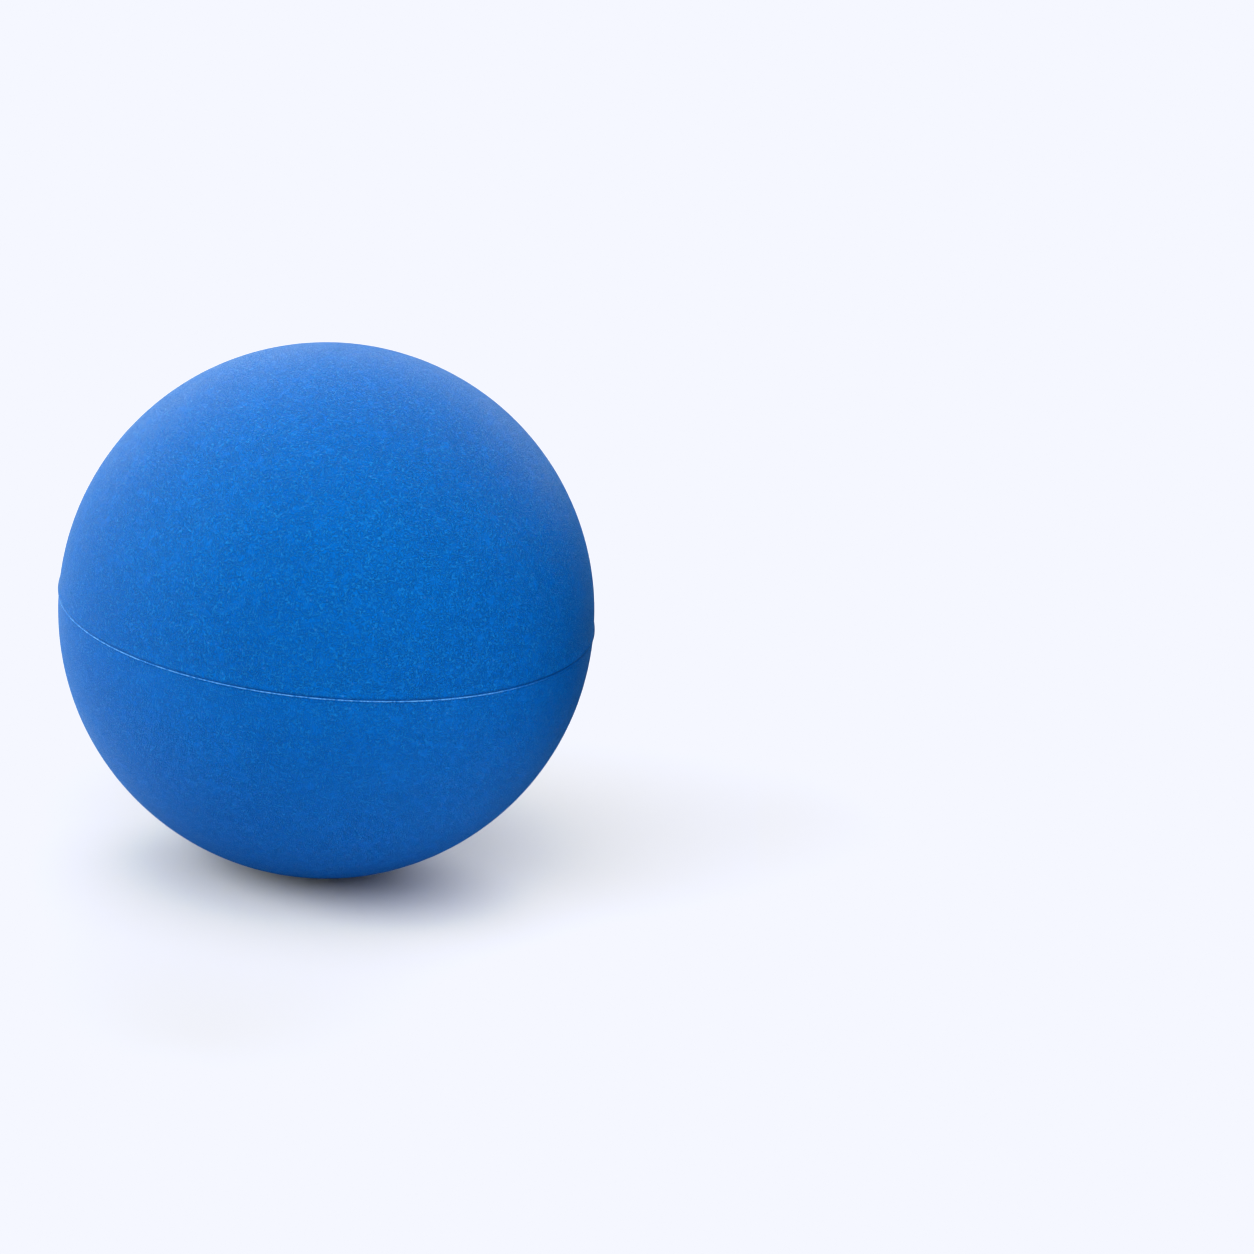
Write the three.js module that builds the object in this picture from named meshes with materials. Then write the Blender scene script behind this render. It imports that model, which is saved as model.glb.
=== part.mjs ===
// Squash ball: a hollow rubber ball of two moulded half shells, joined by a layer of cured cement.
// Millimetres, +Z up. The origin is the centre of the ball and the seam lies in the plane z = 0.
//
// Each shell ends in a flat ground rim, and the cement layer lies between the two rims. Outside, the
// upper rim stands a little proud as a lip. The cement keeps back under the lip, which leaves a fine
// crevice, and swells into a thin bead below it. Inside, the cement that the press squeezed out has
// run into the groove between the two rounded inner edges.

import * as THREE from "three";

// Driving dimensions of the ball
const BALL_DIAMETER = 40;
const WALL_THICKNESS = 5;
const CEMENT_THICKNESS = 0.2;

// Outer edge of the rims: the moulded lip of the upper shell and the rounding of both rims
const LIP_HEIGHT = 0.09;
const LIP_WIDTH = 0.7;
const RIM_EDGE_RADIUS = 0.05;

// Bead of cement outside: its crest over the plain sphere, how far the crest lies below the seam
// plane, and how far the cement keeps back from the sphere under the lip
const OUTER_BEAD_HEIGHT = 0.05;
const BEAD_CREST_DROP = 0.03;
const CREVICE_DEPTH = 0.15;

// Inner edge of the rims, how far round it the squeezed-out cement reaches, and its crown
const INNER_EDGE_RADIUS = 0.6;
const CEMENT_WRAP = THREE.MathUtils.degToRad(60);
const INNER_BEAD_CROWN = 0.15;

// Facets
const SEGMENTS_ROUND = 72;
const OUTER_ARC_STEPS = 18;
const INNER_ARC_STEPS = 12;
const LIP_STEPS = 4;
const RIM_EDGE_STEPS = 2;
const INNER_EDGE_STEPS = 2;
const CEMENT_WRAP_STEPS = 3;
const BEAD_STEPS = 3;
const CROWN_STEPS = 6;

// What follows from the driving dimensions
const OUTER_RADIUS = BALL_DIAMETER / 2;
const INNER_RADIUS = OUTER_RADIUS - WALL_THICKNESS;
const FACE_HEIGHT = CEMENT_THICKNESS / 2;
const QUARTER_TURN = Math.PI / 2;

const shellRubber = new THREE.MeshStandardMaterial({
  name: "shell_rubber",
  color: 0x1262bd,
  roughness: 0.55,
  metalness: 0,
});
const curedCement = new THREE.MeshStandardMaterial({
  name: "cured_cement",
  color: 0x3d86d8,
  roughness: 0.4,
  metalness: 0,
});

// Points on an ellipse about centre, from one angle to another, both ends included.
// A point is a Vector2 of the distance from the pole axis and the height over the seam.
function arc(centre, radius, height, fromAngle, toAngle, steps) {
  const points = [];
  for (let i = 0; i <= steps; i += 1) {
    const angle = THREE.MathUtils.lerp(fromAngle, toAngle, i / steps);
    points.push(
      new THREE.Vector2(
        centre.x + radius * Math.cos(angle),
        centre.y + height * Math.sin(angle),
      ),
    );
  }
  return points;
}

// An arc of the ball's own centre. At the pole the point lies exactly on the axis.
function sphereArc(radius, fromAngle, toAngle, steps) {
  const points = arc(new THREE.Vector2(0, 0), radius, radius, fromAngle, toAngle, steps);
  const pole = fromAngle > toAngle ? points[0] : points.at(-1);
  pole.x = 0;
  return points;
}

// The rim's outer edge: a small round from the shell's side in to its flat face.
function rimEdge(lipHeight) {
  const centre = new THREE.Vector2(
    OUTER_RADIUS + lipHeight - RIM_EDGE_RADIUS,
    FACE_HEIGHT + RIM_EDGE_RADIUS,
  );
  return arc(centre, RIM_EDGE_RADIUS, RIM_EDGE_RADIUS, 0, -QUARTER_TURN, RIM_EDGE_STEPS);
}

// The lip: the sphere's radius grows along a smooth step from the start of the lip to the rim's edge.
function lipSide(lipHeight) {
  const startAngle = Math.asin((FACE_HEIGHT + RIM_EDGE_RADIUS + LIP_WIDTH) / OUTER_RADIUS);
  const endHeight = FACE_HEIGHT + RIM_EDGE_RADIUS;
  const points = [];
  for (let i = 1; i < LIP_STEPS; i += 1) {
    const share = i / LIP_STEPS;
    const height = THREE.MathUtils.lerp(OUTER_RADIUS * Math.sin(startAngle), endHeight, share);
    const sphere = Math.sqrt(OUTER_RADIUS ** 2 - height ** 2);
    const rise = lipHeight * THREE.MathUtils.smoothstep(share, 0, 1);
    points.push(new THREE.Vector2(sphere + rise, height));
  }
  return { startAngle, points };
}

// The round of the rim's inner edge meets both the flat face and the cavity's sphere smoothly. It is
// in two stretches, from the flat face: the one that cement covers, and the bare one beyond it.
function innerEdge() {
  const radius = INNER_EDGE_RADIUS;
  const height = FACE_HEIGHT + radius;
  const reach = INNER_RADIUS + radius;
  const centre = new THREE.Vector2(Math.sqrt(reach ** 2 - height ** 2), height);
  const cavityAngle = Math.asin(height / reach);
  const wrapAngle = -QUARTER_TURN - CEMENT_WRAP;
  const endAngle = cavityAngle - Math.PI;
  return {
    cavityAngle,
    covered: arc(centre, radius, radius, -QUARTER_TURN, wrapAngle, CEMENT_WRAP_STEPS),
    bare: arc(centre, radius, radius, wrapAngle, endAngle, INNER_EDGE_STEPS).slice(1),
  };
}

// Half shell with its rim down: from the outer pole over the rim to the pole of the cavity.
function halfShellProfile(lipHeight) {
  const lip = lipSide(lipHeight);
  const edge = innerEdge();
  const outside = sphereArc(OUTER_RADIUS, QUARTER_TURN, lip.startAngle, OUTER_ARC_STEPS);
  const inside = sphereArc(INNER_RADIUS, edge.cavityAngle, QUARTER_TURN, INNER_ARC_STEPS).slice(1);
  return [...outside, ...lip.points, ...rimEdge(lipHeight), ...edge.covered, ...edge.bare, ...inside];
}

// The bead of cement outside: a quarter ellipse from the back of the crevice down to the crest, and
// another from the crest in to the edge of the lower rim's flat face.
function outerBead() {
  const crevice = OUTER_RADIUS - CREVICE_DEPTH;
  const lowerRim = rimEdge(0).at(-1).x;
  const crest = OUTER_RADIUS + OUTER_BEAD_HEIGHT;
  const aboveCrest = arc(
    new THREE.Vector2(crevice, -BEAD_CREST_DROP),
    crest - crevice,
    FACE_HEIGHT + BEAD_CREST_DROP,
    QUARTER_TURN,
    0,
    BEAD_STEPS,
  );
  const belowCrest = arc(
    new THREE.Vector2(lowerRim, -BEAD_CREST_DROP),
    crest - lowerRim,
    FACE_HEIGHT - BEAD_CREST_DROP,
    0,
    -QUARTER_TURN,
    BEAD_STEPS,
  ).slice(1);
  return [...aboveCrest, ...belowCrest];
}

// The cement inside: in along the lower rim's rounded edge, over a low crown that faces the cavity,
// and out again along the upper rim's edge.
function innerFillet() {
  const upper = innerEdge().covered;
  const lower = upper.map((point) => new THREE.Vector2(point.x, -point.y));
  const end = upper.at(-1);
  const crown = arc(
    new THREE.Vector2(end.x, 0),
    INNER_BEAD_CROWN,
    end.y,
    -QUARTER_TURN,
    -QUARTER_TURN - Math.PI,
    CROWN_STEPS,
  ).slice(1, -1);
  return [...lower, ...crown, ...upper.reverse()];
}

// Cement ring: the flat layer between the rims is what joins the bead to the fillet.
function cementProfile() {
  const bead = outerBead();
  return [...bead, ...innerFillet(), bead[0]];
}

// A body of revolution about the pole axis. The profiles run clockwise, down the outside and up the
// inside, and a lathe faces outwards on one that runs the other way.
function revolve(profile) {
  const anticlockwise = [...profile].reverse();
  return new THREE.LatheGeometry(anticlockwise, SEGMENTS_ROUND).rotateX(QUARTER_TURN);
}

function upperHalfShell() {
  const shell = new THREE.Mesh(revolve(halfShellProfile(LIP_HEIGHT)), shellRubber);
  shell.name = "upper_half_shell";
  return shell;
}

// The lower shell comes from the plain half of the mould, so its rim has no lip. It is turned over.
function lowerHalfShell() {
  const shell = new THREE.Mesh(revolve(halfShellProfile(0)), shellRubber);
  shell.name = "lower_half_shell";
  shell.rotation.x = Math.PI;
  return shell;
}

function seamCement() {
  const ring = new THREE.Mesh(revolve(cementProfile()), curedCement);
  ring.name = "seam_cement";
  return ring;
}

const squashBall = new THREE.Group();
squashBall.name = "squash_ball";
squashBall.add(upperHalfShell(), lowerHalfShell(), seamCement());

export default squashBall;
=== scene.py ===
# %% [markdown]
# # A squash ball in Blender
#
# A squash ball is one of the plainest things that can be modelled, a hollow ball 40 mm across, and
# that is what makes it a good lesson. There is no outline to hide behind. The likeness is all in
# three small things: the pebbled grain of the moulded rubber, the seam where the two halves were
# glued, and the way that matt rubber takes soft light.
#
# The real ball is made in two presses. The first one moulds two half shells. Their rims are ground
# flat and coated with rubber cement, the halves are put together, and the second press cures the
# joint. The cells below follow the same order.

import math

import bpy
from mathutils import Matrix, Vector


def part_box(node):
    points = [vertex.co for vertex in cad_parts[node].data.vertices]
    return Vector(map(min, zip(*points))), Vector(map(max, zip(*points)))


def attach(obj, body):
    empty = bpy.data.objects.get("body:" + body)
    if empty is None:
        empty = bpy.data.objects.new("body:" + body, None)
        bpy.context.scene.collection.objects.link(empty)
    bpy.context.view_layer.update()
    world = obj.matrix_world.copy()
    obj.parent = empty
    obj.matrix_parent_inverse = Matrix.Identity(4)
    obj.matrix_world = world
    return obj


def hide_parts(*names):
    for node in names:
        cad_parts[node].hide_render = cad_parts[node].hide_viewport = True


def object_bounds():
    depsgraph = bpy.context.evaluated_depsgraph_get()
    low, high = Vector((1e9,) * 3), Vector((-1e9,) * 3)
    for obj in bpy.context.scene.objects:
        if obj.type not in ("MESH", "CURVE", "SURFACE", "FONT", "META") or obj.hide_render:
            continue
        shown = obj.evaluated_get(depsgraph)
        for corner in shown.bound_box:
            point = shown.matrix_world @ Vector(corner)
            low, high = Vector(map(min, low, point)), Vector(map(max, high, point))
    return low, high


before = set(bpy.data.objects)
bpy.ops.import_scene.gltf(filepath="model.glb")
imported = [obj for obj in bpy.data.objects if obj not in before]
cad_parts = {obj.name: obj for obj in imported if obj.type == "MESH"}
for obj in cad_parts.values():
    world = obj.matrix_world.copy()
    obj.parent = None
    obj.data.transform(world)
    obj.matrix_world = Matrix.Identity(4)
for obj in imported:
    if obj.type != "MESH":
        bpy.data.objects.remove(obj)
cad_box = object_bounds()
scene = bpy.context.scene
print("nodes in the frame:", sorted(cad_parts))
for name, corner in zip(("lowest", "highest"), cad_box):
    print(f"{name} corner of the solids in metres:", [round(x, 5) for x in corner])

# %% [markdown]
# ## Sizes
#
# Blender works in metres here, and a ball is easier to think about in millimetres, so one unit, MM,
# turns one into the other. These are the sizes of the solid model, and nothing below changes them.
# The seam lies in the plane z = 0 and the ball's centre is the origin.

# %% Sizes of the ball
MM = 0.001
BALL_RADIUS = 20 * MM
WALL_THICKNESS = 5 * MM
CAVITY_RADIUS = BALL_RADIUS - WALL_THICKNESS

# The cement fills the gap between the two rims, from -FACE_HEIGHT to FACE_HEIGHT
FACE_HEIGHT = 0.1 * MM
LIP_HEIGHT = 0.09 * MM
LIP_WIDTH = 0.7 * MM
RIM_EDGE_RADIUS = 0.05 * MM

# The inner edge's round touches the flat face and the cavity. Its reach is the distance from the
# ball's centre to its own
INNER_EDGE_RADIUS = 0.6 * MM
INNER_EDGE_HEIGHT = FACE_HEIGHT + INNER_EDGE_RADIUS
INNER_EDGE_REACH = CAVITY_RADIUS + INNER_EDGE_RADIUS

print(f"ball {2 * BALL_RADIUS / MM:g} mm across, wall {WALL_THICKNESS / MM:g} mm")
print(f"lip {LIP_HEIGHT / MM:g} mm proud and {LIP_WIDTH / MM:g} mm wide")

# %% [markdown]
# ## The camera
#
# The camera comes first, because everything that is judged by eye is judged through it. A photograph
# gives the camera away: the seam is a circle, it shows as a narrow ellipse, and how narrow and how
# tilted it is says from how high the camera looks and how far the ball has rolled over. The ball's
# outline hardly stretches towards the edge of the picture, so the lens was a long one.
#
# The sums are done in the camera's own axes: right, up, and back towards the photographer. There
# the ball's centre and its pole axis are known, and turning the pole axis upright turns the camera
# with it. So the ball stays square to the axes, as the solids are, and the tilt is the camera's.

# %% Camera at the photograph's viewing angle
PICTURE_SIZE_PX = 1254
LENS_PX = 20000
SENSOR_WIDTH_MM = 36
NEAREST_SEEN = 0.01
FARTHEST_SEEN = 10
BALL_CENTRE_PX = (326.3, 610.3)
BALL_RADIUS_PX = 268.3
LOOKS_DOWN = math.radians(18.9)
ROLLED_OVER = math.radians(5.3)

middle_px = PICTURE_SIZE_PX / 2
metres_per_px = BALL_RADIUS / BALL_RADIUS_PX
ball_right_px = BALL_CENTRE_PX[0] - middle_px
ball_up_px = middle_px - BALL_CENTRE_PX[1]
ball_seen = metres_per_px * Vector((ball_right_px, ball_up_px, -LENS_PX))
pole_seen = Vector((
    math.sin(ROLLED_OVER) * math.cos(LOOKS_DOWN),
    math.cos(ROLLED_OVER) * math.cos(LOOKS_DOWN),
    math.sin(LOOKS_DOWN),
))
across_seen = ball_seen.cross(pole_seen).normalized()
away_seen = pole_seen.cross(across_seen)
turn = Matrix((across_seen, away_seen, pole_seen))

camera_data = bpy.data.cameras.new("studio_camera")
camera_data.sensor_width = SENSOR_WIDTH_MM
camera_data.lens = SENSOR_WIDTH_MM * LENS_PX / PICTURE_SIZE_PX
camera_data.clip_start = NEAREST_SEEN
camera_data.clip_end = FARTHEST_SEEN
camera = bpy.data.objects.new("studio_camera", camera_data)
camera.matrix_world = Matrix.Translation(-(turn @ ball_seen)) @ turn.to_4x4()
scene.collection.objects.link(camera)
scene.camera = camera
print("camera at", [round(x, 4) for x in camera.matrix_world.translation], "in metres")
print(f"lens {camera_data.lens:.0f} mm")

# %% [markdown]
# ## A short way to write nodes
#
# Node trees are wordy in Python. This small class wraps one socket, so that a sum of sockets can be
# written as a sum: `1 - mask * 0.5` adds the two Math nodes for it. All other nodes come from one
# method, `node`, which takes the node's type, its settings, and what goes into its sockets.
# It serves geometry and shaders alike, because both kinds of tree have the same Math nodes.

# %% The socket wrapper
def find_socket(sockets, key):
    """A socket by its place, its identifier or its name. Identifiers tell apart equal names."""
    if isinstance(key, int):
        return sockets[key]
    for socket in sockets:
        if socket.identifier == key:
            return socket
    return sockets[key]


class Wire:
    """A socket of a node tree that can be used in Python sums."""

    def __init__(self, tree, socket):
        self.tree = tree
        self.socket = socket

    def node(self, kind, settings=None, sockets=None, output=0):
        """Add a node: its settings first, then the values or wires of its sockets."""
        made = self.tree.nodes.new(kind)
        for name, value in (settings or {}).items():
            setattr(made, name, value)
        for key, value in (sockets or {}).items():
            target = find_socket(made.inputs, key)
            if isinstance(value, Wire):
                self.tree.links.new(value.socket, target)
            else:
                target.default_value = value
        return Wire(self.tree, find_socket(made.outputs, output))

    def other(self, output):
        """Another output of the node that this wire comes from."""
        return Wire(self.tree, find_socket(self.socket.node.outputs, output))

    def math(self, operation, *values):
        """One Math node. The values or wires go into its sockets in order."""
        return self.node("ShaderNodeMath", {"operation": operation}, dict(enumerate(values)))

    def __add__(self, value):
        return self.math("ADD", self, value)

    def __radd__(self, value):
        return self.math("ADD", value, self)

    def __sub__(self, value):
        return self.math("SUBTRACT", self, value)

    def __rsub__(self, value):
        return self.math("SUBTRACT", value, self)

    def __mul__(self, value):
        return self.math("MULTIPLY", self, value)

    def __truediv__(self, value):
        return self.math("DIVIDE", self, value)

    def __rtruediv__(self, value):
        return self.math("DIVIDE", value, self)

    def __abs__(self):
        return self.math("ABSOLUTE", self)

    def __gt__(self, value):
        return self.math("GREATER_THAN", self, value)

    def __lt__(self, value):
        return self.math("LESS_THAN", self, value)

    def smooth(self, start, end):
        """A soft step from 0 to 1 as the value goes from start to end."""
        sockets = {"Value": self, "From Min": start, "From Max": end}
        return self.node("ShaderNodeMapRange", {"interpolation_type": "SMOOTHSTEP"}, sockets)

    def mix_colour(self, first, second):
        """The first colour where this wire is 0, and the second where it is 1."""
        sockets = {"Factor_Float": self, "A_Color": first, "B_Color": second}
        return self.node("ShaderNodeMix", {"data_type": "RGBA"}, sockets, "Result_Color")


# %% [markdown]
# ## The shape of a half shell, as a line
#
# A lathe turns a line into a body, and a half shell is such a body. Its line starts at the outer
# pole, comes down the outside, swells into the lip, rounds the rim's edge, crosses the flat face and
# climbs the inside to the cavity's pole. Only the upper half of the mould leaves a lip: the lower
# half shell has the same line without it.
#
# The rows outside are close together, because the grain is pressed into them later. Inside the ball
# nobody looks, so a few rows do.

# %% The line of a half shell
CAP_ROWS = 84
SIDE_ROWS = 80
LIP_ROWS = 6
RIM_EDGE_ROWS = 4
FACE_ROWS = 2
INNER_EDGE_ROWS = 4
CAVITY_ROWS = 8


def arc(centre, radius, height, start, end, rows):
    """Points on an ellipse, as (distance from the pole axis, height over the seam)."""
    angles = [start + (end - start) * row / rows for row in range(rows + 1)]
    return [(centre[0] + radius * math.cos(a), centre[1] + height * math.sin(a)) for a in angles]


def inner_edge(end, rows):
    """The round of a rim's inner edge, from the flat face to the angle end."""
    centre_distance = math.sqrt(INNER_EDGE_REACH**2 - INNER_EDGE_HEIGHT**2)
    centre = (centre_distance, INNER_EDGE_HEIGHT)
    return arc(centre, INNER_EDGE_RADIUS, INNER_EDGE_RADIUS, -math.pi / 2, end, rows)


def half_shell_line(lip_height):
    """The outline of one half shell with its rim down, from the outer pole to the cavity's pole."""
    edge_height = FACE_HEIGHT + RIM_EDGE_RADIUS
    lip_start = math.asin((edge_height + LIP_WIDTH) / BALL_RADIUS)
    outside = arc((0, 0), BALL_RADIUS, BALL_RADIUS, math.pi / 2, lip_start, CAP_ROWS + SIDE_ROWS)

    # The rise is a soft step, so that the lip swells out of the ball without a crease
    lip = []
    for row in range(1, LIP_ROWS):
        share = row / LIP_ROWS
        height = BALL_RADIUS * math.sin(lip_start) * (1 - share) + edge_height * share
        rise = lip_height * share * share * (3 - 2 * share)
        lip.append((math.sqrt(BALL_RADIUS**2 - height**2) + rise, height))

    edge_centre = (BALL_RADIUS + lip_height - RIM_EDGE_RADIUS, edge_height)
    edge = arc(edge_centre, RIM_EDGE_RADIUS, RIM_EDGE_RADIUS, 0, -math.pi / 2, RIM_EDGE_ROWS)

    cavity_start = math.asin(INNER_EDGE_HEIGHT / INNER_EDGE_REACH)
    inner = inner_edge(cavity_start - math.pi, INNER_EDGE_ROWS)
    face_start = edge[-1][0]
    face_step = (inner[0][0] - face_start) / FACE_ROWS
    face = [(face_start + face_step * row, FACE_HEIGHT) for row in range(1, FACE_ROWS)]
    cavity = arc((0, 0), CAVITY_RADIUS, CAVITY_RADIUS, cavity_start, math.pi / 2, CAVITY_ROWS)

    line = outside + lip + edge + face + inner + cavity[1:]
    line[0] = (0, BALL_RADIUS)
    line[-1] = (0, CAVITY_RADIUS)
    return line


def line_object(name, line):
    """An object whose mesh is only the line's points, for the geometry nodes to read."""
    mesh = bpy.data.meshes.new(name)
    mesh.from_pydata([(distance, 0, height) for distance, height in line], [], [])
    made = bpy.data.objects.new(name, mesh)
    scene.collection.objects.link(made)
    return made


print("points in a half shell's line:", len(half_shell_line(LIP_HEIGHT)))

# %% [markdown]
# ## From the line to the shell
#
# The plain way to turn a line is Spin or the Screw modifier. Both crowd the faces at the pole into
# thin slivers, and a grain pressed into slivers looks combed. So the shell is made as a tailor would
# make it: a square cloth becomes the cap over the pole, and a long strip is wrapped round the side.
#
# On the square cloth, the points of one ring, all as far from the middle as each other when counted
# along the longer side, go to one height of the ball. The ring's corners and sides are spread evenly
# round the circle. No face is a sliver, and the outermost ring has 8 points for each row, which is
# also the number of points across the strip. Merging the two borders makes the cup one piece.
#
# The grain that is large enough to be a shape goes in here as well: soft pebbles and a slow waviness,
# about a hundredth of a millimetre high. They fade out towards the rim, which was ground after
# moulding. The noise has a fourth number, its seed, so that the two halves don't repeat each other.

# %% How a tree starts and ends
def new_geometry_tree(name, inputs):
    """An empty tree with named inputs, given as (name, socket type, value), and wires to them."""
    tree = bpy.data.node_groups.new(name, "GeometryNodeTree")
    tree.interface.new_socket("Line", in_out="INPUT", socket_type="NodeSocketGeometry")
    tree.interface.new_socket("Body", in_out="OUTPUT", socket_type="NodeSocketGeometry")
    for label, kind, value in inputs:
        socket = tree.interface.new_socket(label, in_out="INPUT", socket_type=kind)
        if value is not None:
            socket.default_value = value
    source = tree.nodes.new("NodeGroupInput")
    return tree, {output.name: Wire(tree, output) for output in source.outputs if output.name}


def finish_tree(tree, body, material):
    """End a tree: real meshes in place of instances, then the material."""
    body = body.node("GeometryNodeRealizeInstances", sockets={"Geometry": body})
    body = body.node("GeometryNodeSetMaterial", sockets={"Geometry": body, "Material": material})
    sink = tree.nodes.new("NodeGroupOutput")
    tree.links.new(body.socket, sink.inputs["Body"])


# %% A strip wrapped round the pole axis
def place_on_line(line, grid, row, angle):
    """Move a grid's points: each goes to its row's point of the line, turned by its angle."""
    position = grid.node("GeometryNodeInputPosition")
    settings = {"data_type": "FLOAT_VECTOR", "domain": "POINT"}
    sockets = {"Geometry": line, "Value": position, "Index": row}
    point = grid.node("GeometryNodeSampleIndex", settings, sockets)
    distance = point.node("ShaderNodeSeparateXYZ", sockets={"Vector": point})
    sockets = {
        "X": distance * angle.math("COSINE", angle),
        "Y": distance * angle.math("SINE", angle),
        "Z": distance.other("Z"),
    }
    place = point.node("ShaderNodeCombineXYZ", sockets=sockets)
    return grid.node("GeometryNodeSetPosition", sockets={"Geometry": grid, "Position": place})


def wrapped_strip(line, first_row, columns):
    """A strip wrapped round the pole axis, from first_row of the line to its end."""
    settings = {"component": "MESH"}
    sockets = {"Geometry": line}
    count = line.node("GeometryNodeAttributeDomainSize", settings, sockets, "Point Count")
    across = columns + 1
    sockets = {"Vertices X": count - first_row, "Vertices Y": across}
    grid = line.node("GeometryNodeMeshGrid", sockets=sockets)
    index = line.node("GeometryNodeInputIndex")
    row = index.math("FLOOR", index / across)
    column = index - row * across
    return place_on_line(line, grid, row + first_row, column * (2 * math.pi) / columns)


# %% A square cloth over the pole
def square_cap(line, rings):
    """A square cloth laid over the pole, ring by ring, down to the line's point number rings."""
    across = rings * 2 + 1
    grid = line.node("GeometryNodeMeshGrid", sockets={"Vertices X": across, "Vertices Y": across})
    index = line.node("GeometryNodeInputIndex")
    grid_row = index.math("FLOOR", index / across)
    x = grid_row - rings
    y = index - grid_row * across - rings
    ring = index.math("MAXIMUM", abs(x), abs(y))
    # A Math node that divides by 0 gives 0, so the middle row and column do no harm
    sideways = abs(x) > abs(y)
    angle_sideways = y / x * (math.pi / 4) + (x < 0) * math.pi
    angle_upwards = math.pi / 2 - x / y * (math.pi / 4) + (y < 0) * math.pi
    angle = sideways * angle_sideways + (1 - sideways) * angle_upwards
    return place_on_line(line, grid, ring, angle)


# %% Small steps that the shell's tree and the seam's tree share
MERGE_DISTANCE = 0.001 * MM


def merged(body):
    """The body with the points that lie on each other made one."""
    sockets = {"Geometry": body, "Distance": MERGE_DISTANCE}
    return body.node("GeometryNodeMergeByDistance", sockets=sockets)


def scaled(direction, length):
    """A direction made as long as length."""
    sockets = {"Vector": direction, "Scale": length}
    return direction.node("ShaderNodeVectorMath", {"operation": "SCALE"}, sockets)


def seeded_noise(place, size, seed, detail):
    """Noise of one pattern size, from -0.5 to 0.5. Its fourth number is the seed."""
    sockets = {"Vector": place, "W": seed, "Scale": 1 / size, "Detail": detail}
    return place.node("ShaderNodeTexNoise", {"noise_dimensions": "4D"}, sockets) - 0.5


# %% Geometry nodes: a half shell
# Each ring of the square cloth has this many points more than the ring inside it
POINTS_PER_RING = 8
SKIN_DEPTH = 0.02 * MM


def half_shell_tree():
    """The tree that makes a half shell from its line."""
    floating, whole = "NodeSocketFloat", "NodeSocketInt"
    tree, given = new_geometry_tree("half_shell", [
        ("Cap Rings", whole, 8),
        ("Ball Radius", floating, BALL_RADIUS),
        ("Rim Height", floating, 0.0),
        ("Grained Height", floating, 0.0),
        ("Pebble Size", floating, 1 * MM),
        ("Pebble Height", floating, 0.0),
        ("Wave Size", floating, 5 * MM),
        ("Wave Height", floating, 0.0),
        ("Seed", floating, 0.0),
        ("Turned Over", floating, 0.0),
        ("Rubber", "NodeSocketMaterial", None),
    ])
    line = given["Line"]
    cap = square_cap(line, given["Cap Rings"])
    side = wrapped_strip(line, given["Cap Rings"], given["Cap Rings"] * POINTS_PER_RING)
    joined = tree.nodes.new("GeometryNodeJoinGeometry")
    tree.links.new(cap.socket, joined.inputs[0])
    tree.links.new(side.socket, joined.inputs[0])
    body = merged(Wire(tree, joined.outputs[0]))

    position = body.node("GeometryNodeInputPosition")
    height = position.node("ShaderNodeSeparateXYZ", sockets={"Vector": position}, output="Z")
    sockets = {"Vector": position}
    radius = position.node("ShaderNodeVectorMath", {"operation": "LENGTH"}, sockets, "Value")
    outward = position.node("ShaderNodeVectorMath", {"operation": "NORMALIZE"}, sockets)
    outside = radius > given["Ball Radius"] - SKIN_DEPTH
    grained = outside * height.smooth(given["Rim Height"], given["Grained Height"])

    pebbles = seeded_noise(position, given["Pebble Size"], given["Seed"], detail=1.0)
    waves = seeded_noise(position, given["Wave Size"], given["Seed"], detail=1.0)
    rise = pebbles * given["Pebble Height"] + waves * given["Wave Height"]
    sockets = {"Geometry": body, "Offset": scaled(outward, rise * grained)}
    body = body.node("GeometryNodeSetPosition", sockets=sockets)

    half_turn = given["Turned Over"] * math.pi
    rotation = half_turn.node("ShaderNodeCombineXYZ", sockets={"X": half_turn})
    body = body.node("GeometryNodeTransform", sockets={"Geometry": body, "Rotation": rotation})
    body = body.node("GeometryNodeSetShadeSmooth", sockets={"Geometry": body})
    finish_tree(tree, body, given["Rubber"])
    return tree


shell_tree = half_shell_tree()
print("nodes in the half shell's tree:", len(shell_tree.nodes))


# %% Run a tree and keep its mesh
def grow(name, line, tree, values):
    """Run a tree on a line and keep the result as a plain mesh."""
    made = line_object(name, line)
    modifier = made.modifiers.new("grow", "NODES")
    modifier.node_group = tree
    inputs = [item for item in tree.interface.items_tree if item.in_out == "INPUT"]
    identifiers = {item.name: item.identifier for item in inputs}
    for label, value in values.items():
        modifier[identifiers[label]] = value
    bpy.context.view_layer.update()
    evaluated = made.evaluated_get(bpy.context.evaluated_depsgraph_get())
    mesh = bpy.data.meshes.new_from_object(evaluated)
    mesh.name = name
    # Set Material adds a slot of its own after the empty one that the line's mesh came with
    while mesh.materials[0] is None:
        mesh.materials.pop(index=0)
    made.modifiers.remove(modifier)
    made.data = mesh
    triangles = sum(len(face.vertices) - 2 for face in mesh.polygons)
    print(f"{name}: {len(mesh.vertices)} points, {triangles} triangles, {mesh.materials[0].name}")
    return made


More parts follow.
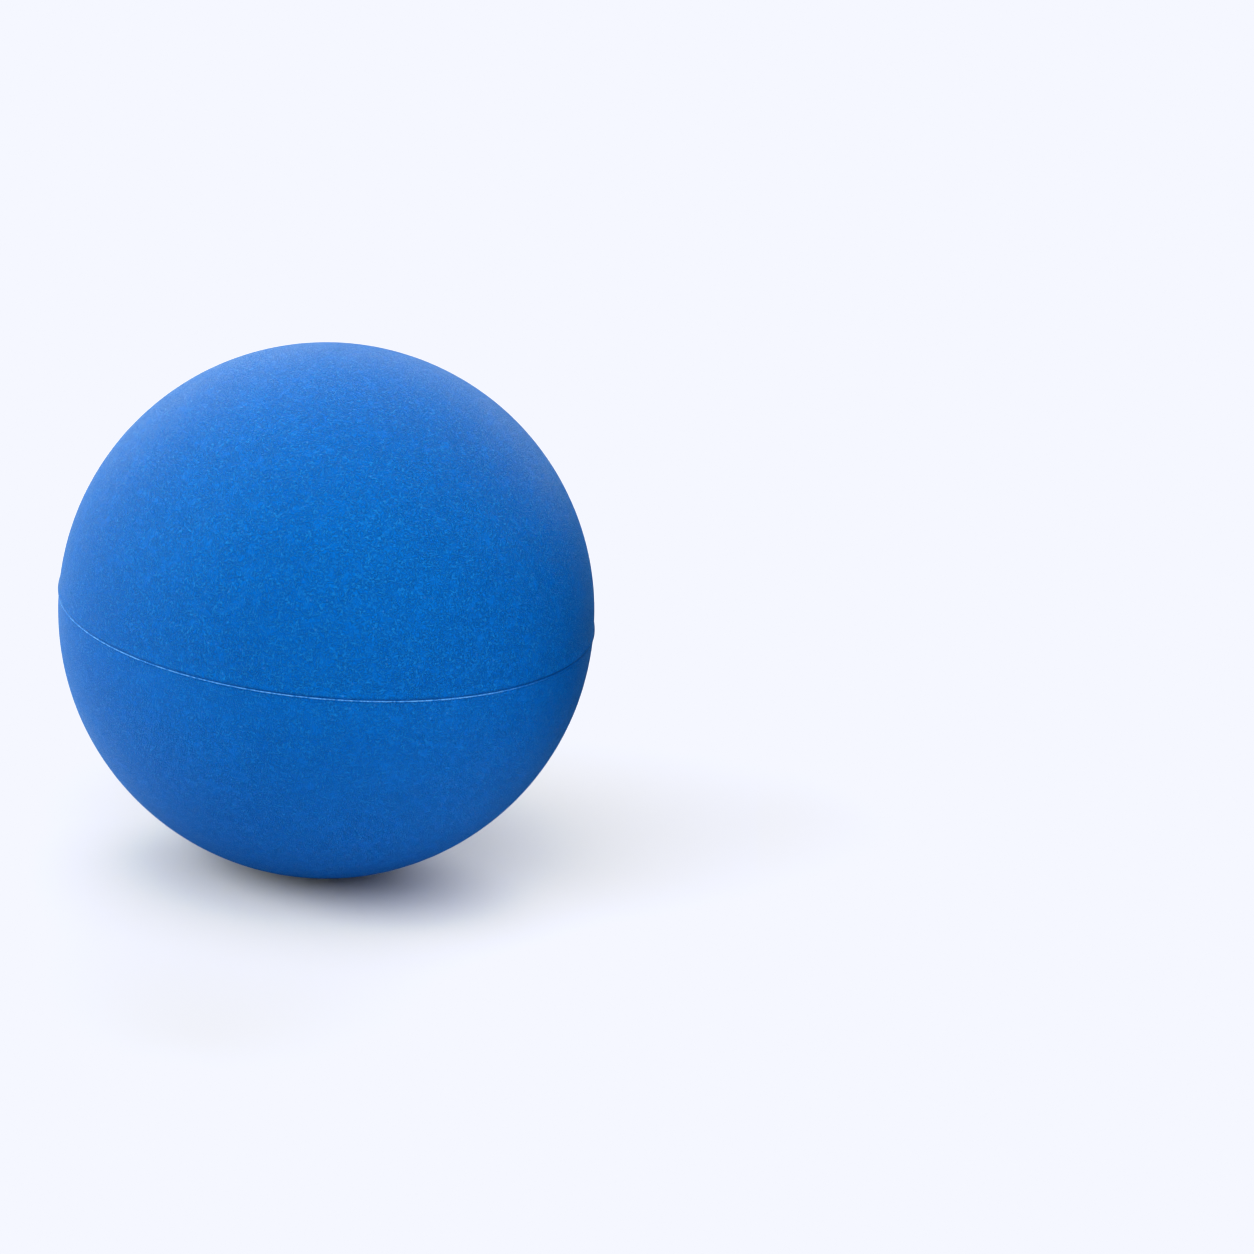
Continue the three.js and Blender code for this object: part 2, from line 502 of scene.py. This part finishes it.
# %% [markdown]
# ## Blue rubber
#
# The shells are filled rubber, coloured right through and moulded against a blasted steel cavity.
# The finish has five parts.
#
# - The colour wanders a little where the filler is unevenly spread.
# - The mould's grain is a close pattern of short worm-like ridges, each with a groove beside it. A
#   pair is about a sixth of a millimetre wide. The ridges are painted paler, partly as rubbed rubber
#   and partly as a painted highlight, and the grooves darker, as painted shade. The lower half is the
#   smoother one. All this is too fine for the mesh, so it is drawn here, in colour and as relief in
#   the shading.
# - A few small specks of pale moulding dust lie on it.
# - A fine dark line runs along the lip, just above the seam: partly dirt gathered there and partly
#   painted shade under the lip. Towards the right it is darker, as painted shade where the light
#   falls away.
# - Rubber has no polish. Its gloss is broad and faint in the middle of the ball, and gathers into a
#   pale rim where the surface turns away. The photograph has next to no red in the middle of the
#   ball, so the gloss has its red taken out.
#
# An image texture would need a flat copy of a ball, which always tears or stretches somewhere. Noise
# in three dimensions has no such seam, so all of it is procedural and read at the object's own
# coordinates, in metres. The scale of a noise is one over the size of its pattern. A ridge is drawn
# where the noise comes near one level, like a contour line on a map. The groove follows a level a
# little lower, so it always runs beside its ridge.

# %% Helpers for materials
RUBBER_IOR = 1.5


def new_material(name):
    """An empty material: its shader, and a wire to the object's own coordinates."""
    material = bpy.data.materials.new(name)
    material.use_nodes = True
    tree = material.node_tree
    tree.nodes.clear()
    output = tree.nodes.new("ShaderNodeOutputMaterial")
    shader = tree.nodes.new("ShaderNodeBsdfPrincipled")
    tree.links.new(shader.outputs["BSDF"], output.inputs["Surface"])
    coordinates = Wire(tree, tree.nodes.new("ShaderNodeTexCoord").outputs["Object"])
    return material, shader, coordinates


def noise(place, size, detail=2.0, distortion=0.0):
    """Noise of one pattern size, from 0 to 1."""
    sockets = {"Vector": place, "Scale": 1 / size, "Detail": detail, "Distortion": distortion}
    return place.node("ShaderNodeTexNoise", sockets=sockets)


def feed(shader, name, wire):
    """Lead a wire into one of the shader's sockets."""
    wire.tree.links.new(wire.socket, shader.inputs[name])


def emboss(shader, height):
    """Shade the surface as if it had this height, in metres."""
    sockets = {"Strength": 1.0, "Distance": 1.0, "Height": height}
    feed(shader, "Normal", height.node("ShaderNodeBump", sockets=sockets))


def set_gloss(shader, level, red_share):
    """Gloss that is the same all over. The share says how much of its red is left."""
    shader.inputs["IOR"].default_value = RUBBER_IOR
    shader.inputs["Specular IOR Level"].default_value = level
    shader.inputs["Specular Tint"].default_value = (red_share, 1, 1, 1)


def srgb(red, green, blue):
    """A colour from the usual 0 to 255 numbers, in the linear light that shaders use."""
    linear = []
    for share in (red / 255, green / 255, blue / 255):
        linear.append(share / 12.92 if share <= 0.04045 else ((share + 0.055) / 1.055) ** 2.4)
    return (*linear, 1.0)


# %% Material: blue rubber
RIDGE_SPACING = 0.17 * MM
RIDGE_LEVEL = 0.07
GROOVE_LEVEL = -0.08
LINE_HALF_WIDTH = 0.11
LINE_BENDING = 0.4
FADING_SIZE = 0.7 * MM
FADING_ENDS = 0.6
GRAIN_DEPTH = 0.045 * MM
LOWER_GRAIN = 0.8
HALVES_BLEND = 1 * MM

rubber, rubber_shader, place = new_material("blue_rubber")
height_over_seam = place.node("ShaderNodeSeparateXYZ", sockets={"Vector": place}, output="Z")

level = noise(place, RIDGE_SPACING, detail=0.0, distortion=LINE_BENDING) - 0.5
fading = noise(place, FADING_SIZE, detail=1.0).smooth(0, FADING_ENDS)
ridges = (1 - abs(level - RIDGE_LEVEL).smooth(0, LINE_HALF_WIDTH)) * fading
grooves = (1 - abs(level - GROOVE_LEVEL).smooth(0, LINE_HALF_WIDTH)) * fading
above_seam = height_over_seam.smooth(-HALVES_BLEND, HALVES_BLEND)
grain = LOWER_GRAIN + above_seam * (1 - LOWER_GRAIN)
emboss(rubber_shader, (ridges - grooves) * grain * GRAIN_DEPTH)

# %% Dust, dirt and painted shade on the rubber
SPECK_SPACING = 0.6 * MM
SPECK_CORE = 0.06
SPECK_EDGE = 0.2
CELLS_WITHOUT_SPECK = 0.86
# The dark line along the lip: partly dirt, partly painted shade under the lip, with more shade on the
# right
DARK_LINE_HEIGHT = 0.16 * MM
DARK_LINE_WIDTH = 0.12 * MM
DARK_LINE_CORE = DARK_LINE_WIDTH / 3
DARK_LINE_ALL_ROUND = 0.3
MORE_SHADE_AT_THE_RIGHT = 0.5
LIT_SIDE_TO = 11 * MM
SHADED_SIDE_FROM = 18 * MM

cells = place.node("ShaderNodeTexVoronoi", sockets={"Vector": place, "Scale": 1 / SPECK_SPACING})
chance = place.node("ShaderNodeSeparateColor", sockets={"Color": cells.other("Color")})
dust = (1 - cells.smooth(SPECK_CORE, SPECK_EDGE)) * (chance > CELLS_WITHOUT_SPECK)

# A painted shade line under the lip, with some dirt, darker on the right where the light falls away
on_lip = 1 - abs(height_over_seam - DARK_LINE_HEIGHT).smooth(DARK_LINE_CORE, DARK_LINE_WIDTH)
shaded_side = height_over_seam.other("X").smooth(LIT_SIDE_TO, SHADED_SIDE_FROM)
dirt_and_shade = on_lip * (DARK_LINE_ALL_ROUND + shaded_side * MORE_SHADE_AT_THE_RIGHT)

# %% Colour and gloss of the rubber
MOTTLE_SIZE = 9 * MM
PATCH_SIZE = 2.5 * MM
TONE_RANGE = (0.2, 0.8)
GROOVE_SHADE_STRENGTH = 0.3
RIDGE_WEAR_AND_HIGHLIGHT = 0.24
DUST_STRENGTH = 0.25
RUBBER_ROUGHNESS = 0.45
PATCH_ROUGHNESS = 0.12
RIDGE_POLISH = 0.05

deep_blue = srgb(0, 87, 180)
pale_blue = srgb(0, 94, 189)
# Painted shade for the grooves, and a paler ridge colour that is partly wear and partly a painted
# highlight
groove_shade_blue = srgb(0, 60, 164)
ridge_wear_and_highlight_blue = srgb(44, 152, 210)
dust_blue = srgb(78, 146, 222)
dirt_and_shade_blue = srgb(0, 56, 132)
mottle = noise(place, MOTTLE_SIZE)
patches = noise(place, PATCH_SIZE)
tone = (mottle * 0.5 + patches * 0.5).smooth(*TONE_RANGE)
colour = tone.mix_colour(deep_blue, pale_blue)
# The grooves get painted shade and the ridges a painted highlight with some wear, on top of their
# relief
colour = (grooves * grain * GROOVE_SHADE_STRENGTH).mix_colour(colour, groove_shade_blue)
colour = (ridges * grain * RIDGE_WEAR_AND_HIGHLIGHT).mix_colour(colour, ridge_wear_and_highlight_blue)
colour = (dust * DUST_STRENGTH).mix_colour(colour, dust_blue)
# The lip's dark line: dirt and painted shade
colour = dirt_and_shade.mix_colour(colour, dirt_and_shade_blue)
feed(rubber_shader, "Base Color", colour)

roughness = RUBBER_ROUGHNESS + (patches - 0.5) * PATCH_ROUGHNESS - ridges * RIDGE_POLISH
feed(rubber_shader, "Roughness", roughness)
set_gloss(rubber_shader, level=0.22, red_share=0.05)
print("nodes in the rubber:", len(rubber.node_tree.nodes))

# %% [markdown]
# ## The two half shells
#
# Now the tree runs twice, once for each half. The upper half gets the line with the lip, and the
# lower half the line without it, turned over. Each replaces its CAD node: the shape is the same,
# only finer, and with the grain.

# %% Make the half shells
SHELL_VALUES = {
    "Cap Rings": CAP_ROWS,
    "Ball Radius": BALL_RADIUS,
    "Rim Height": 0.15 * MM,
    "Grained Height": 1.2 * MM,
    "Pebble Size": 1.0 * MM,
    "Pebble Height": 0.010 * MM,
    "Wave Size": 6 * MM,
    "Wave Height": 0.03 * MM,
    "Rubber": rubber,
}
UPPER_VALUES = {**SHELL_VALUES, "Seed": 3.0}
LOWER_VALUES = {**SHELL_VALUES, "Seed": 8.0, "Turned Over": 1.0}
upper_half = grow("moulded_upper_half", half_shell_line(LIP_HEIGHT), shell_tree, UPPER_VALUES)
lower_half = grow("moulded_lower_half", half_shell_line(0), shell_tree, LOWER_VALUES)

# %% [markdown]
# ## The seam
#
# Between the rims lies a layer of cement, a fifth of a millimetre thick. Outside it keeps back under
# the lip, which leaves a dark crevice, and just below it swells into a bead. The bead is what shows
# in a photograph, as a bright thread little wider than a hair. It is never even: the press squeezed
# out a little more here and less there, and trimming has broken it into short lengths.
#
# A real bead is a shape, so it is one here: the same wrapped strip as the shell's side, closed on
# itself, with far more columns. Noise along the seam lifts and lowers the bead's crest. Inside the
# ball, the cement that was squeezed inwards fills the groove between the rounded rims.

# %% The line of the cement
BEAD_HEIGHT = 0.05 * MM
BEAD_CREST_DROP = 0.03 * MM
CREVICE_DEPTH = 0.15 * MM
CEMENT_WRAP = math.radians(60)
INNER_CROWN = 0.15 * MM
BEAD_ROWS = 6
WRAP_ROWS = 3
CROWN_ROWS = 6
SEAM_COLUMNS = 2400


def cement_line():
    """The cement's closed outline: down the bead, in along the layer, round the fillet and out."""
    crevice = BALL_RADIUS - CREVICE_DEPTH
    lower_rim = BALL_RADIUS - RIM_EDGE_RADIUS
    crest = BALL_RADIUS + BEAD_HEIGHT
    quarter = math.pi / 2
    rise, fall = FACE_HEIGHT + BEAD_CREST_DROP, FACE_HEIGHT - BEAD_CREST_DROP
    above = arc((crevice, -BEAD_CREST_DROP), crest - crevice, rise, quarter, 0, BEAD_ROWS)
    below = arc((lower_rim, -BEAD_CREST_DROP), crest - lower_rim, fall, 0, -quarter, BEAD_ROWS)

    upper = inner_edge(-quarter - CEMENT_WRAP, WRAP_ROWS)
    lower = [(distance, -height) for distance, height in upper]
    end_distance, end_height = upper[-1]
    crown = arc((end_distance, 0), INNER_CROWN, end_height, -quarter, -3 * quarter, CROWN_ROWS)
    return above + below[1:] + lower + crown[1:-1] + upper[::-1] + above[:1]


print("points in the cement's line:", len(cement_line()))


# %% Geometry nodes: the seam
def seam_tree():
    """The tree that makes the ring of cement from its line."""
    floating = "NodeSocketFloat"
    tree, given = new_geometry_tree("seam", [
        ("Columns", "NodeSocketInt", 64),
        ("Crevice Radius", floating, BALL_RADIUS),
        ("Crest Radius", floating, BALL_RADIUS),
        ("Nodule Length", floating, 0.4 * MM),
        ("Nodule Height", floating, 0.0),
        ("Wander Length", floating, 4 * MM),
        ("Wander", floating, 0.0),
        ("Seed", floating, 0.0),
        ("Cement", "NodeSocketMaterial", None),
    ])
    body = merged(wrapped_strip(given["Line"], 0, given["Columns"]))

    position = body.node("GeometryNodeInputPosition")
    settings = {"operation": "MULTIPLY"}
    flat = position.node("ShaderNodeVectorMath", settings, {0: position, 1: (1, 1, 0)})
    distance = flat.node("ShaderNodeVectorMath", {"operation": "LENGTH"}, {"Vector": flat}, "Value")
    outward = flat.node("ShaderNodeVectorMath", {"operation": "NORMALIZE"}, {"Vector": flat})
    on_bead = distance.smooth(given["Crevice Radius"], given["Crest Radius"])
    on_circle = scaled(outward, given["Crest Radius"])

    nodules = seeded_noise(on_circle, given["Nodule Length"], given["Seed"], detail=1.5)
    wandering = seeded_noise(on_circle, given["Wander Length"], given["Seed"], detail=2.0)
    rise = scaled(outward, nodules * given["Nodule Height"] * on_bead)
    shift = rise.node("ShaderNodeCombineXYZ", sockets={"Z": wandering * given["Wander"] * on_bead})
    offset = rise.node("ShaderNodeVectorMath", {"operation": "ADD"}, {0: rise, 1: shift})
    body = body.node("GeometryNodeSetPosition", sockets={"Geometry": body, "Offset": offset})
    body = body.node("GeometryNodeSetShadeSmooth", sockets={"Geometry": body})
    finish_tree(tree, body, given["Cement"])
    return tree


ring_tree = seam_tree()
print("nodes in the seam's tree:", len(ring_tree.nodes))

# %% [markdown]
# ## Cured cement
#
# The cement is the same rubber dissolved in solvent, so it dries to the same hue. It was never
# pressed against the mould's grain, so it is smoother. The crest of the bead is paler: partly dust
# and wear, where hands and walls rub first, and partly a painted highlight, where the crest catches
# the light. It is paler on its clots than between them. The sides of the bead keep the blue of the
# rubber, which makes the thread look finer than the bead is. Towards the right of the ball the
# painted highlight fades out, as the light falls away there, and the thread dies away.

# %% Material: cured cement
STREAK_SIZE = 0.5 * MM
CLOT_SIZE = 0.2 * MM
CLOT_DEPTH = 0.01 * MM
CLOT_RANGE = (0.38, 0.62)
CREST_START = 0.01 * MM
CREST_END = 0.08 * MM
CEMENT_ROUGHNESS = 0.38
CLOT_ROUGHNESS = 0.12

cement, cement_shader, place = new_material("seam_rubber")
streaks = noise(place, STREAK_SIZE)
clots = noise(place, CLOT_SIZE, detail=1.0)
tone = (streaks * 0.5 + clots * 0.5).smooth(*CLOT_RANGE)
height_over_seam = place.node("ShaderNodeSeparateXYZ", sockets={"Vector": place}, output="Z")
# The crest is painted paler, partly as wear and partly as a painted highlight that fades out to the
# right
crest = 1 - abs(height_over_seam + BEAD_CREST_DROP).smooth(CREST_START, CREST_END)
lit_side = 1 - height_over_seam.other("X").smooth(LIT_SIDE_TO, SHADED_SIDE_FROM)

side_blue = srgb(0, 88, 176)
worn_and_lit_blue = srgb(10, 108, 200)
dusty_and_lit_blue = srgb(96, 166, 240)
# Crest colours: wear and dust together with a painted highlight
crest_wear_and_highlight = tone.mix_colour(worn_and_lit_blue, dusty_and_lit_blue)
feed(cement_shader, "Base Color", (crest * lit_side).mix_colour(side_blue, crest_wear_and_highlight))
feed(cement_shader, "Roughness", CEMENT_ROUGHNESS + clots * CLOT_ROUGHNESS)
emboss(cement_shader, clots * CLOT_DEPTH)
set_gloss(cement_shader, level=0.3, red_share=0.4)
print("nodes in the cement:", len(cement.node_tree.nodes))

# %% Make the seam
seam = grow("cured_seam", cement_line(), ring_tree, {
    "Columns": SEAM_COLUMNS,
    "Crevice Radius": BALL_RADIUS - CREVICE_DEPTH,
    "Crest Radius": BALL_RADIUS + BEAD_HEIGHT,
    "Nodule Length": 0.45 * MM,
    "Nodule Height": 0.10 * MM,
    "Wander Length": 5 * MM,
    "Wander": 0.05 * MM,
    "Seed": 5.0,
    "Cement": cement,
})

# %% [markdown]
# ## Pieces and solids
#
# Each piece takes the place of one solid and rides on the ball's only body.

# %% Tie the pieces to the frame
for piece, node, slot in (
    (upper_half, "upper_half_shell", "shell_rubber"),
    (lower_half, "lower_half_shell", "shell_rubber"),
    (seam, "seam_cement", "cured_cement"),
):
    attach(piece, "root")
    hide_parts(node)
    low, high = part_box(node)
    print(f"{piece.name} stands for {node}, z from {low.z / MM:.2f} to {high.z / MM:.2f} mm")

# %% [markdown]
# ## Floor and backdrop
#
# The photograph has a pale sweep with no horizon, so white that the camera shows nothing in it but
# the ball's soft shadow. The floor is a large disc under the ball that fades into a backdrop of the
# same white, so that no edge shows from any side. The floor is part of the stage, not of the ball.
#
# The ball's lower rim mirrors the floor, and there the photograph has a secret. On the left the rim
# is pale, but below and on the right it is dark, because the floor lies in shadow there. The floor
# has a second paint, which only gloss sees: pale on the left, and dark under the ball and to its
# right.

# %% Floor
FLOOR_RADIUS = 1.2
FLOOR_CORNERS = 128
FLOOR_FADE_START = 0.5
FLOOR_FADE_END = 1.1
FLOOR_PAINT = (0.9, 0.9, 0.9, 1)
FLOOR_LEFT_IN_GLOSS = (0.45, 0.7, 0.85, 1)
FLOOR_RIGHT_IN_GLOSS = (0.05, 0.2, 0.34, 1)
GLOSS_PALE_TO = -24 * MM
GLOSS_DARK_FROM = -4 * MM

bpy.ops.mesh.primitive_circle_add(vertices=FLOOR_CORNERS, radius=FLOOR_RADIUS, fill_type="NGON")
floor = bpy.context.active_object
floor.name = "floor"
floor.data.transform(Matrix.Translation((0, 0, -BALL_RADIUS)))
floor_paint, floor_shader, place = new_material("floor_paint")
distance = place.node("ShaderNodeVectorMath", {"operation": "LENGTH"}, {"Vector": place}, "Value")
feed(floor_shader, "Alpha", 1 - distance.smooth(FLOOR_FADE_START, FLOOR_FADE_END))
# The dark part of the gloss paint is painted shade, seen only in the ball's reflections
in_gloss = place.node("ShaderNodeLightPath", output="Is Glossy Ray")
across = place.node("ShaderNodeSeparateXYZ", sockets={"Vector": place}, output="X")
at_the_right = across.smooth(GLOSS_PALE_TO, GLOSS_DARK_FROM)
gloss_paint = at_the_right.mix_colour(FLOOR_LEFT_IN_GLOSS, FLOOR_RIGHT_IN_GLOSS)
feed(floor_shader, "Base Color", in_gloss.mix_colour(FLOOR_PAINT, gloss_paint))
floor_shader.inputs["Roughness"].default_value = 1.0
floor_shader.inputs["Specular IOR Level"].default_value = 0.0
floor.data.materials.append(floor_paint)
print("floor", 2 * FLOOR_RADIUS, "m across")

# %% Backdrop
BACKDROP = (1.15, 1.15, 1.15, 1)
BLACK = (0, 0, 0, 1)

world = bpy.data.worlds.new("studio")
world.use_nodes = True
scene.world = world
tree = world.node_tree
tree.nodes.clear()
seen = Wire(tree, tree.nodes.new("ShaderNodeLightPath").outputs["Is Camera Ray"])
backdrop = seen.node("ShaderNodeBackground", sockets={"Color": BACKDROP})
dark_studio = seen.node("ShaderNodeBackground", sockets={"Color": BLACK})
both = seen.node("ShaderNodeMixShader", sockets={0: seen, 1: dark_studio, 2: backdrop})
world_output = tree.nodes.new("ShaderNodeOutputWorld")
tree.links.new(both.socket, world_output.inputs["Surface"])
print("backdrop seen by the camera alone, brightness", BACKDROP[0])

# %% [markdown]
# ## Light
#
# A matt ball is lit by looking at where it is bright and where it isn't. This one is bright and pale
# at the upper left, even in the middle and dark down its right side. That is what wide softboxes
# above, to the left and behind give. One more, in front on the right, keeps that side from going
# black.
#
# The floor tells another story. Its shadow is small and close, and fades to pure white on all sides,
# so the floor has more light than the ball, and from lower down. Photographers get both at once with
# flags and grids. Here light linking does the same: each lamp names the objects that it lights and
# the objects that stop it. The floor's lamps are a little tinted, because the ball throws blue on
# the floor and the shadow in the photograph is a neutral grey. The ball's lamps lack a little red,
# because the light in the photograph is a cool one.
#
# All lamps are suns, which light the whole floor evenly, and their wide angle makes them softboxes. A
# dark card stands at the right, where a photographer would put one to shape a round thing: it takes
# the light off that flank. The camera doesn't see it, and the floor's lamps shine past it.

# %% Dark card
CARD_DISTANCE = 34 * MM
CARD_BEHIND = 4 * MM
CARD_DEPTH = 44 * MM
CARD_HEIGHT = 36 * MM
CARD_PAINT = (0.01, 0.02, 0.04, 1)

bpy.ops.mesh.primitive_plane_add(size=1)
card = bpy.context.active_object
card.name = "dark_card"
upright = Matrix.Rotation(math.pi / 2, 4, "Y") @ Matrix.Diagonal((CARD_HEIGHT, CARD_DEPTH, 1, 1))
card_middle = (CARD_DISTANCE, CARD_BEHIND, CARD_HEIGHT / 2 - BALL_RADIUS)
card.data.transform(Matrix.Translation(card_middle) @ upright)
card_paint, card_shader, _ = new_material("card_paint")
card_shader.inputs["Base Color"].default_value = CARD_PAINT
card.data.materials.append(card_paint)
card.visible_camera = False
print(f"dark card {CARD_DEPTH / MM:g} mm long and {CARD_HEIGHT / MM:g} mm high")


# %% Helpers for lamps
def linked_group(name, *members):
    """A group of objects that lamps can be linked to."""
    group = bpy.data.collections.new(name)
    for member in members:
        group.objects.link(member)
    return group


def add_lamp(name, azimuth, elevation, angle, strength, colour, lit, stopped_by):
    """A wide sun. Azimuth 0 is the camera's side, and 90 is to its left."""
    data = bpy.data.lights.new(name, "SUN")
    data.energy = strength
    data.color = colour
    data.angle = math.radians(angle)
    lamp = bpy.data.objects.new(name, data)
    around, up = math.radians(azimuth), math.radians(elevation)
    flat = Vector((-math.sin(around), -math.cos(around), 0))
    towards_lamp = flat * math.cos(up) + Vector((0, 0, math.sin(up)))
    lamp.rotation_euler = towards_lamp.to_track_quat("Z", "Y").to_euler()
    lamp.light_linking.receiver_collection = lit
    lamp.light_linking.blocker_collection = stopped_by
    scene.collection.objects.link(lamp)


# %% Lamps
SKY = (0.84, 1, 0.98)
WARM = (1, 0.98, 0.78)
COOL = (0.98, 1, 1.1)
PALE = (1, 1, 0.95)

ball_group = linked_group("ball_group", upper_half, lower_half, seam)
floor_group = linked_group("floor_group", floor)
all_but_card = linked_group("all_but_card", upper_half, lower_half, seam, floor)
everything = linked_group("everything", upper_half, lower_half, seam, floor, card)

for name, azimuth, elevation, angle, strength in (
    ("softbox_top", 30, 80, 120, 2.3),
    ("softbox_left", 90, 20, 80, 2.4),
    ("softbox_left_back", 125, 30, 90, 1.4),
    ("softbox_back", 180, 25, 80, 2.1),
    ("softbox_front_right", 300, 35, 85, 2.2),
):
    add_lamp(name, azimuth, elevation, angle, strength, SKY, ball_group, everything)

for name, azimuth, elevation, angle, strength, colour in (
    ("floor_top", 5, 62, 84, 2.5, COOL),
    ("floor_left", 62, 20, 56, 3.1, WARM),
    ("floor_back", 190, 24, 56, 3.0, PALE),
):
    add_lamp(name, azimuth, elevation, angle, strength, colour, floor_group, all_but_card)
print("lamps:", len(bpy.data.lights))

# %% [markdown]
# ## Colour and the last line
#
# Blender's default view transform is made for high contrast and turns a clear blue dull. A product
# picture wants the colours as they are, so the Standard transform is used. Its one fault is that
# white is cut off hard. The curves below do what a camera does there: highlights roll off gently to
# the white of the paper, which in this picture is a cool one.

# %% View transform, sizes and finish
scene.view_settings.view_transform = "Standard"
scene.view_settings.look = "None"

PAPER_WHITE = srgb(245, 247, 255)
UNCHANGED_TONES = (0.2, 0.4, 0.6, 0.8)
ROLL_OFF_END = 1.04

scene.view_settings.use_curve_mapping = True
mapping = scene.view_settings.curve_mapping
mapping.use_clip = False
mapping.extend = "HORIZONTAL"
for channel in range(3):
    curve = mapping.curves[channel]
    white = PAPER_WHITE[channel]
    curve.points[0].location = (0, 0)
    curve.points[1].location = (ROLL_OFF_END, white)
    for tone in UNCHANGED_TONES:
        curve.points.new(tone, tone)
mapping.update()
print("white of the paper:", [round(x, 3) for x in PAPER_WHITE[:3]])
